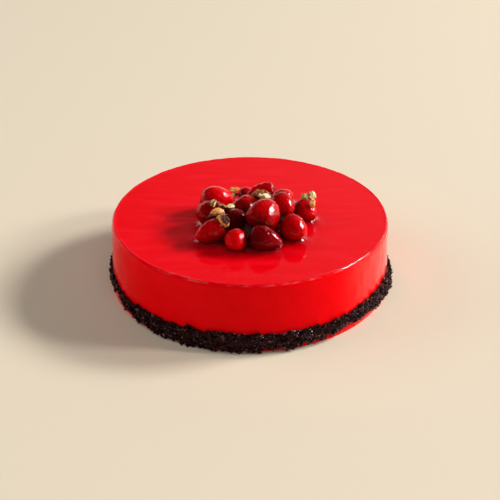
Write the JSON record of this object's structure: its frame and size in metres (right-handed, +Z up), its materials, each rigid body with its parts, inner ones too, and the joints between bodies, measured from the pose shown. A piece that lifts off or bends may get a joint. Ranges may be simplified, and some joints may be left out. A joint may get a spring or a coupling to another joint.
{
  "type": "strawberry cake",
  "caption": "Round mousse cake with a red mirror glaze, chocolate crumbs pressed round its foot and a pile of small glazed strawberries and chopped pistachios on top.",
  "frame": {"origin": "centre of the cake's foot, on the surface it stands on", "axes": "+Z up through the middle of the cake; -Y towards the side that faces the viewer in the picture"},
  "size_m": [0.21, 0.2101, 0.0778],
  "materials": {
    "glaze": "mirror-smooth clear red glaze",
    "crumb": "rough dark chocolate crumbs",
    "strawberry": "wet glazed fruit",
    "pistachio": "satin, freshly cut",
    "pistachio_skin": "satin, papery"
  },
  "bodies": {
    "root": {"cake_body": "glaze", "crumb_band": "crumb", "berry_1": "strawberry", "berry_2": "strawberry", "berry_3": "strawberry", "berry_4": "strawberry", "berry_5": "strawberry", "berry_6": "strawberry", "berry_7": "strawberry", "berry_8": "strawberry", "berry_9": "strawberry", "berry_10": "strawberry", "berry_11": "strawberry", "berry_12": "strawberry", "berry_13": "strawberry", "berry_14": "strawberry", "berry_15": "strawberry", "berry_16": "strawberry", "nut_1": "pistachio", "nut_2": "pistachio_skin", "nut_3": "pistachio_skin", "nut_4": "pistachio", "nut_5": "pistachio_skin", "nut_6": "pistachio_skin", "nut_7": "pistachio", "nut_8": "pistachio_skin", "nut_9": "pistachio", "nut_10": "pistachio", "nut_11": "pistachio", "nut_12": "pistachio_skin"}
  },
  "joints": []
}
